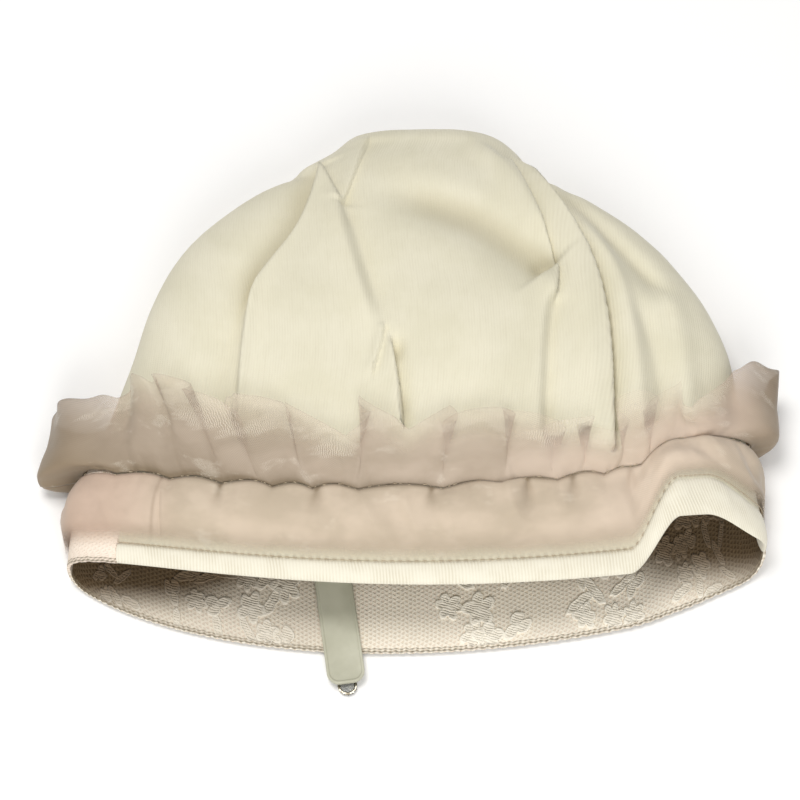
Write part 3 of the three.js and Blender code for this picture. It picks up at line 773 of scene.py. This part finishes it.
def bandPlace(u, v):
    turn = organzaTurns(u)
    points, normals = bagFrame(turn, lerp(bandStart(turn), gatherAt(u) - 0.001, v))
    s, x = u * organza["girth"], points[..., 0]
    down = 1 - v
    puff = np.sin(math.pi * v**1.4)
    lumps = waver(s / 16 + 0.5 * v, v * 1.6, 23) + 0.5 * waver(s / 7.5 - 0.6 * v, v * 2.0, 24)
    tucks = 0.5 * waver(s / 2.4, v * 1.2, 21) + 0.35 * waver(s / 5.2, v * 1.5, 22)
    ridges = 0.6 - np.abs(waver(s / 10 + 0.9 * v, v * 1.4 + s / 50, 25))
    rumple = band["rumple"] * ease(x, 55, 72) * waver(s / 5.5 + 1.5 * v, v * 2.2, 26)
    near = np.exp(-((down / 0.2) ** 2))
    uneven = 1 + 0.5 * lumps + 0.5 * ridges + rumple
    stand = band["foot"] + band["puff"] * puff * uneven + tucks * near * (puff * 1.4 + 0.15)
    for place, wide, deep in pinches:
        spread = wide * (0.35 + 2.2 * down)
        stand = stand - deep * np.exp(-(((x - place) / spread) ** 2)) * np.exp(-((down / 0.26) ** 2)) * puff
    stand = stand - 0.5 * np.exp(-(((x - stripSeam) / 0.6) ** 2))
    points = points + normals * (organza["gap"] + np.maximum(0.15, stand) * looseness(turn))[..., None]
    over = band["over"] * np.maximum(0, lumps + 0.2) * np.exp(-(((v - 0.84) / 0.12) ** 2)) * looseness(turn)
    points[..., 1] += over * (1 - sideness(turn))
    points[..., 2] = np.maximum(points[..., 2], band["lowest"])
    return points


def bandMarks(u, v):
    turn = organzaTurns(u)
    x = bagPoint(turn, gatherLine)[..., 0]
    # Painted shade along the gathers, in the pinches, at the band's lower edge and a little at the sides;
    # darker along the strip's seam too.
    crease = np.exp(-(((1 - v) / 0.035) ** 2)) * 0.75
    for place, wide, _ in pinches:
        spread = wide * (0.35 + 1.6 * (1 - v))
        crease = crease + 0.8 * np.exp(-(((x - place) / spread) ** 2)) * np.exp(-(((1 - v) / 0.2) ** 2))
    seam = 0.4 * np.exp(-(((x - stripSeam) / 0.5) ** 2))
    low = 0.08 * np.exp(-((v / 0.3) ** 2))
    blush = 0.5 * ease(-x, 62, 96) * (1 - ease(-x, 100, 108))
    cover = 0.12 + 0.58 * ease(v, 0.0, 0.4)
    depth = np.clip(crease + seam + low + 0.15 * sideness(turn), 0, 1)
    pale = 0.45 * ease(x, 40, 70) * (1 - sideness(turn))
    return {"depth": depth, "blush": blush, "cover": cover, "sparkle": 0 * v - 0.04, "pale": pale}


bandPiece = clothSheet("organza_band", (band["columns"], band["rows"]), bandPlace, band["wall"], 1.0, True,
                       bandMarks, cutWidth=organza["cut"])
dress(bandPiece, organzaFinish("organza_band", shade(204, 188, 166), shade(216, 199, 178)),
      "band_organza", "ruffle_band")

frill = {"columns": 1600, "rows": 26, "wall": 0.25, "bagLength": 225, "flareLeft": 15, "flareRight": 8.5,
         "flareBy": 0.3, "sidePower": 10, "droop": 0.3, "spread": 0.5, "backReach": 22, "stand": 2.2,
         "fold": 15.0, "sideWave": 1.3, "swing": 5.2, "lean": 2.0, "flat": (0.62, 0.028)}
reaches = np.array([
    (-104, 18), (-96, 21), (-91, 25), (-84, 27), (-71, 26), (-63, 19), (-59, 12), (-53, 21), (-44, 21),
    (-38, 16), (-35, 22), (-26, 10), (-21, 20), (-13, 23), (-4, 13), (2, 21), (12, 15), (23, 19), (33, 18),
    (42, 11), (50, 14), (60, 9), (66, 17), (69, 21), (75, 13), (80, 23), (87, 10), (94, 24), (98, 29),
    (106, 32),
])


def frillPlace(u, v):
    s = u * organza["girth"]
    still = 0 * s
    fan = v**0.8
    phase = 2 * math.pi * (s / frill["fold"] + 0.8 * waver(s / 24, still, 31))
    swing = frill["swing"] * (1 + 0.4 * waver(s / 18, still, 32)) * fan
    side = swing * np.sin(phase) + 0.5 * fan * waver(s / 5.5, v * 1.2, 33)
    turn = organzaTurns(u) + 0 * v
    loose = looseness(turn)
    sideShare = sideness(turn, frill["sidePower"])
    x = bagPoint(turn, gatherLine)[..., 0]
    lean = frill["lean"] * (1 - ease(x, -60, -5)) * (1 - sideShare) * (1 - 0.5 * ease(-x, 70, 90))
    tip = x - lean * 7
    reach = lerp(frill["backReach"], np.interp(tip, reaches[:, 0], reaches[:, 1]), loose)
    reach = reach + 0.9 * waver(s / 3.4, still, 34) + 0.8 * np.cos(phase + 0.7)
    start = gatherAt(u) + lerp(0.001, 0.008, sideShare * loose)
    moved = turn + (side * (1 - sideShare) - lean * loose * v * reach * 0.5) / (organza["girth"] / 4) * 0.8
    t = start + v * reach / frill["bagLength"]
    points, normals = bagFrame(moved, t)
    height, _ = foldsAt(points, moved, t)
    cleared = np.where(unwound(moved) > 1, 0, np.maximum(0, height))
    gathers = 0.4 * waver(s / 2.2, v * 1.2, 35) * np.exp(-((v / 0.25) ** 2))
    wave = 1.5 * (1 + np.cos(phase)) * fan + 0.5 * fan * waver(s / 4.5, v * 2, 36)
    wave = wave + frill["sideWave"] * sideShare * v * np.sin(2 * math.pi * s / 10.5 + 1.5 * v)
    puff = 0.9 * np.sin(math.pi * np.minimum(1, v * 1.7)) * (1 + 0.5 * waver(s / 9, still, 37))
    stand = 0.5 + cleared + frill["stand"] * v**1.6 + puff + np.maximum(-0.3, gathers + wave)
    points = points + normals * (organza["gap"] + stand * loose)[..., None]
    far = np.where(shareAcross(turn) < 0.5, -frill["flareLeft"], frill["flareRight"])
    flare = far * sideShare * ease(v, 0, frill["flareBy"]) * loose
    points[..., 0] += flare
    points[..., 1] -= frill["spread"] * np.abs(flare) * (1 - v)
    points[..., 2] = np.maximum(points[..., 2] - frill["droop"] * np.abs(flare), 0.3)
    return points


def frillMarks(u, v):
    turn = organzaTurns(u)
    x = bagPoint(turn, gatherLine)[..., 0]
    side = sideness(turn)
    # The depth mark is painted shade at the frill's base, along the left and at the sides, where it also
    # stands for the cloth's denser layers.
    left = ease(-x, -10, 60)
    dark = 0.78 + 0.2 * ease(x, 80, 100)
    base = np.exp(-((v / 0.06) ** 2)) * 0.7 + 0.3 * (1 - v) ** 1.5
    right = ease(x, 20, 70) * (1 - side)
    depth = base * lerp(0.55, 1, left) * (1 - 0.7 * right) + 0.3 * left * (1 - v) + dark * side - 0.2 * right
    cover = 0.6 - 0.36 * ease(v, 0.2, 0.95) + 0.4 * side - 0.14 * right
    blush = 0.25 * ease(x, 70, 95) * (1 - side)
    sparkle = 0.16 * ease(v, 0.3, 0.75) * (0.6 + 0.4 * left) * (1 - side) - 0.05 * side
    pale = 0.65 * ease(x, 15, 65) * (1 - side)
    return {"depth": np.clip(depth, 0, 1), "blush": blush, "cover": np.clip(cover, 0, 1), "sparkle": sparkle,
            "pale": pale}


frillPiece = clothSheet("organza_frill", (frill["columns"], frill["rows"]), frillPlace, frill["wall"], 1.0,
                        True, frillMarks, cutWidth=organza["cut"])
dress(frillPiece, organzaFinish("organza_frill", shade(198, 181, 162), shade(212, 195, 177)),
      "frill_organza", "ruffle_frill")
print("organza gathered")


# Binding: a ribbed strip folded over the front hem.
binding = {"columns": 420, "ring": 24, "length": 240, "wall": 3.0, "rib": 1.0, "puff": 0.3}


def bindingPlace(u, v):
    angle = 2 * math.pi * v
    middle = -front["wall"] / 2
    down = np.clip(0.5 + 0.62 * np.cos(angle), 0, 1)
    flatTurn = lerp(leftEdge(0 * u), 1, (acrossFront(u) + 1) / 2)
    t = hemTop * (1 - down) * ribWide(bagPoint(flatTurn, 0 * u)[..., 0])
    turn = lerp(leftEdge(t), 1, (acrossFront(u) + 1) / 2)
    points, normals = bagFrame(turn, t)
    s = u * binding["length"]
    full = np.sqrt(np.maximum(0, 1 - (2 * down - 1) ** 4)) * 0.92 + 0.08
    lumps = binding["puff"] * waver(s / 9, v * 2, 41) + 0.12 * waver(s / 3.1, v * 3, 42)
    height = middle + np.sin(angle) * (binding["wall"] / 2 + lumps) * full
    return points + normals * height[..., None]


def ribFinish():
    finish = Finish("cream_rib")
    cloth = finish.cloth()
    x, _ = finish.parts(cloth)
    sway = finish.noise(cloth, 0.08, 2.0)
    rib = ((x + sway * 1.2) * (2 * math.pi / binding["rib"])).sine()
    fuzz = finish.noise(cloth, 2.4, 3.0, 0.65)
    soft = finish.noise(cloth, 0.12, 2.0).rise(0.35, 0.65, 0.25, 0.8)
    # Painted shade: the colour is darker in the rib's grooves.
    color = finish.mix((rib * 0.5 + 0.5) * soft, shade(234, 229, 212), shade(214, 206, 184))
    return finish.close({
        "Base Color": color, "Roughness": 0.88,
        "Normal": finish.bump(rib * -0.45 * soft + fuzz * 0.6, 0.14, 0.8),
        "Sheen Weight": 0.25, "Specular IOR Level": 0.2,
    })


bindingPiece = clothSheet("hem_rib", (binding["columns"], binding["ring"]), bindingPlace, 0, tube=True)
dress(bindingPiece, ribFinish(), "binding_rib", "hem_binding")
print("hem bound")


# Threads: rows of short stitches along a curve of the hat.
thread = {"thick": 0.17, "sides": 6, "taper": 0.6, "gathers": 150, "gatherLong": 1.1, "binding": 110,
          "bindingLong": 1.3, "proud": 0.75}


def stitchRow(mesh, placeAt, count, long):
    shares = (np.arange(count) + 0.5) / count
    middles = placeAt(shares)
    ahead = unit(placeAt(shares + 0.2 / count) - placeAt(shares - 0.2 / count))
    for middle, heading in zip(middles, ahead):
        turned = Vector(heading).to_track_quat("Z", "Y").to_matrix().to_4x4()
        place = Matrix.Translation(Vector(middle + [*bag["middle"], 0]) * metre) @ turned
        radius = thread["thick"] * metre
        bmesh.ops.create_cone(mesh, cap_ends=True, segments=thread["sides"], radius1=radius,
                              radius2=radius * thread["taper"], depth=long * metre, matrix=place)


def gatherCurve(shares):
    u = np.clip(shares, 0, 1) * 0.5
    points, normals = bagFrame(organzaTurns(u), gatherAt(u) + 0.0012 * np.sin(shares * 173))
    return points + normals * (1.0 + 0.35 * np.sin(shares * 611))[..., None]


def bindingCurve(shares):
    turn = lerp(leftEdge(np.array(0.0)), 0.98, np.clip(shares, 0, 1))
    x = bagPoint(turn, hemTop)[..., 0]
    points, normals = bagFrame(turn, hemTop * ribWide(x) * 0.98)
    return points + normals * thread["proud"]


def makeThreads():
    mesh = bmesh.new()
    stitchRow(mesh, gatherCurve, thread["gathers"], thread["gatherLong"])
    stitchRow(mesh, bindingCurve, thread["binding"], thread["bindingLong"])
    made = bpy.data.meshes.new("threads")
    mesh.to_mesh(made)
    mesh.free()
    piece = bpy.data.objects.new("threads", made)
    scene.collection.objects.link(piece)
    finish = Finish("sewing_thread")
    at = finish.node("ShaderNodeTexCoord", out=3)
    x, y = finish.parts(at)
    twist = ((x + y) * 9000.0).sine()
    color = finish.mix(finish.noise(at, 400.0, 2.0), shade(150, 132, 106), shade(206, 190, 164))
    material = finish.close({"Base Color": color, "Roughness": 0.7, "Normal": finish.bump(twist, 0.05, 0.8)})
    piece.data.materials.append(material)
    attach(piece, "root")


makeThreads()
print("threads sewn")


# Label: a rubber tongue with a raised rim, a metal cup under its free end and a cut stone in the cup.
label = {"x": -20.0, "free": -95.5, "lean": 0.14, "wide": 11.6, "long": 44.0, "low": 2.6, "thick": 1.4,
         "corner": 3.8, "rim": 0.7, "step": 0.25, "sunk": 0.28, "edge": 0.16}


def makeLabel():
    mesh = bmesh.new()
    half = label["wide"] / 2
    bmesh.ops.create_grid(mesh, x_segments=1, y_segments=1, size=0.5)
    for vertex in mesh.verts:
        vertex.co = (vertex.co.x * 2 * half, (vertex.co.y + 0.5) * label["long"], 0)
    free = [vertex for vertex in mesh.verts if vertex.co.y < 1]
    bmesh.ops.bevel(mesh, geom=free, offset=label["corner"], segments=8, profile=0.5, affect="VERTICES",
                    material=-1)
    raised = bmesh.ops.extrude_face_region(mesh, geom=mesh.faces[:])["geom"]
    bmesh.ops.translate(mesh, verts=[item for item in raised if isinstance(item, bmesh.types.BMVert)],
                        vec=(0, 0, label["thick"]))
    bmesh.ops.recalc_face_normals(mesh, faces=mesh.faces)
    top = [face for face in mesh.faces if face.normal.z > 0.9]
    bmesh.ops.inset_region(mesh, faces=top, thickness=label["rim"], use_even_offset=True)
    bmesh.ops.inset_region(mesh, faces=top, thickness=label["step"], depth=-label["sunk"],
                           use_even_offset=True)
    sharp = [edge for edge in mesh.edges if edge.is_manifold and edge.calc_face_angle(0) > 0.5]
    bmesh.ops.bevel(mesh, geom=sharp, offset=label["edge"], segments=2, profile=0.5, affect="EDGES",
                    material=-1)
    for face in mesh.faces:
        face.smooth = True
    turned = Matrix.Rotation(label["lean"], 4, "Z")
    place = Matrix.Translation((label["x"], label["free"], label["low"])) @ turned
    bmesh.ops.transform(mesh, matrix=Matrix.Scale(metre, 4) @ place, verts=mesh.verts)
    made = bpy.data.meshes.new("rubber_label")
    mesh.to_mesh(made)
    mesh.free()
    piece = bpy.data.objects.new("rubber_label", made)
    scene.collection.objects.link(piece)
    finish = Finish("grey_rubber")
    at = finish.node("ShaderNodeTexCoord", out=3)
    grain = finish.noise(at, 2600.0, 3.0, 0.6)
    cloud = finish.noise(at, 120.0, 3.0)
    color = finish.mix(cloud.rise(0.3, 0.7), shade(181, 180, 160), shade(193, 192, 173))
    dress(piece, finish.close({
        "Base Color": color, "Roughness": grain.rise(0.2, 0.8, 0.42, 0.6),
        "Normal": finish.bump(grain, 0.04, 0.5), "Specular IOR Level": 0.4,
    }), "label_rubber", "label_tab")


makeLabel()


def recoat(node, material):
    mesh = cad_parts[node].data
    mesh.materials.clear()
    mesh.materials.append(material)


def cupFinish():
    finish = Finish("cup_metal")
    at = finish.node("ShaderNodeTexCoord", out=3)
    wear = finish.noise(at, 900.0, 4.0, 0.6)
    color = finish.mix(wear.rise(0.35, 0.65), shade(176, 172, 160), shade(120, 112, 96))
    return finish.close({
        "Base Color": color, "Metallic": 1.0, "Roughness": wear.rise(0.3, 0.7, 0.16, 0.38),
        "Normal": finish.bump(wear, 0.03, 0.5),
    })


def stoneFinish():
    finish = Finish("cut_stone")
    at = finish.node("ShaderNodeTexCoord", out=3)
    flaw = finish.noise(at, 700.0, 2.0)
    color = finish.mix(flaw.rise(0.35, 0.65), shade(250, 250, 246), shade(226, 228, 226))
    return finish.close({
        "Base Color": color, "Roughness": flaw.rise(0.2, 0.8, 0.02, 0.08), "IOR": 1.6,
        "Transmission Weight": 0.75, "Specular IOR Level": 0.8,
    })


recoat("label_cup", cupFinish())
recoat("label_crystal", stoneFinish())
print("label laid")


# Floor and light.
studio = {"floor": 3.0, "pale": 0.97, "world": 0.4, "lamp": 0.5, "energy": 6.4, "at": (-0.22, 0.12, 1.08),
          "fill": 8.0, "fillAt": (0.1, -1.05, 0.72), "fillSize": 0.8}


def makeFloor():
    mesh = bmesh.new()
    bmesh.ops.create_grid(mesh, x_segments=1, y_segments=1, size=studio["floor"])
    made = bpy.data.meshes.new("floor")
    mesh.to_mesh(made)
    mesh.free()
    floor = bpy.data.objects.new("floor", made)
    scene.collection.objects.link(floor)
    finish = Finish("white_floor")
    pale = (studio["pale"], studio["pale"], studio["pale"], 1)
    made.materials.append(finish.close({"Base Color": pale, "Roughness": 0.9}))


def makeLamp(name, size, energy, at, color):
    lamp = bpy.data.lights.new(name, "AREA")
    lamp.shape = "DISK"
    lamp.size = size
    lamp.energy = energy
    lamp.color = color
    softbox = bpy.data.objects.new(name, lamp)
    scene.collection.objects.link(softbox)
    softbox.location = at
    softbox.rotation_euler = Vector(at).to_track_quat("Z", "Y").to_euler()


def makeLight():
    scene.view_settings.view_transform = "Standard"
    world = bpy.data.worlds.new("studio")
    scene.world = world
    world.use_nodes = True
    world.node_tree.nodes["Background"].inputs["Color"].default_value = (1, 1, 1, 1)
    world.node_tree.nodes["Background"].inputs["Strength"].default_value = studio["world"]
    makeLamp("softbox", studio["lamp"], studio["energy"], studio["at"], (1.0, 0.985, 0.96))
    makeLamp("fill", studio["fillSize"], studio["fill"], studio["fillAt"], (1.0, 0.99, 0.97))


makeFloor()
makeLight()
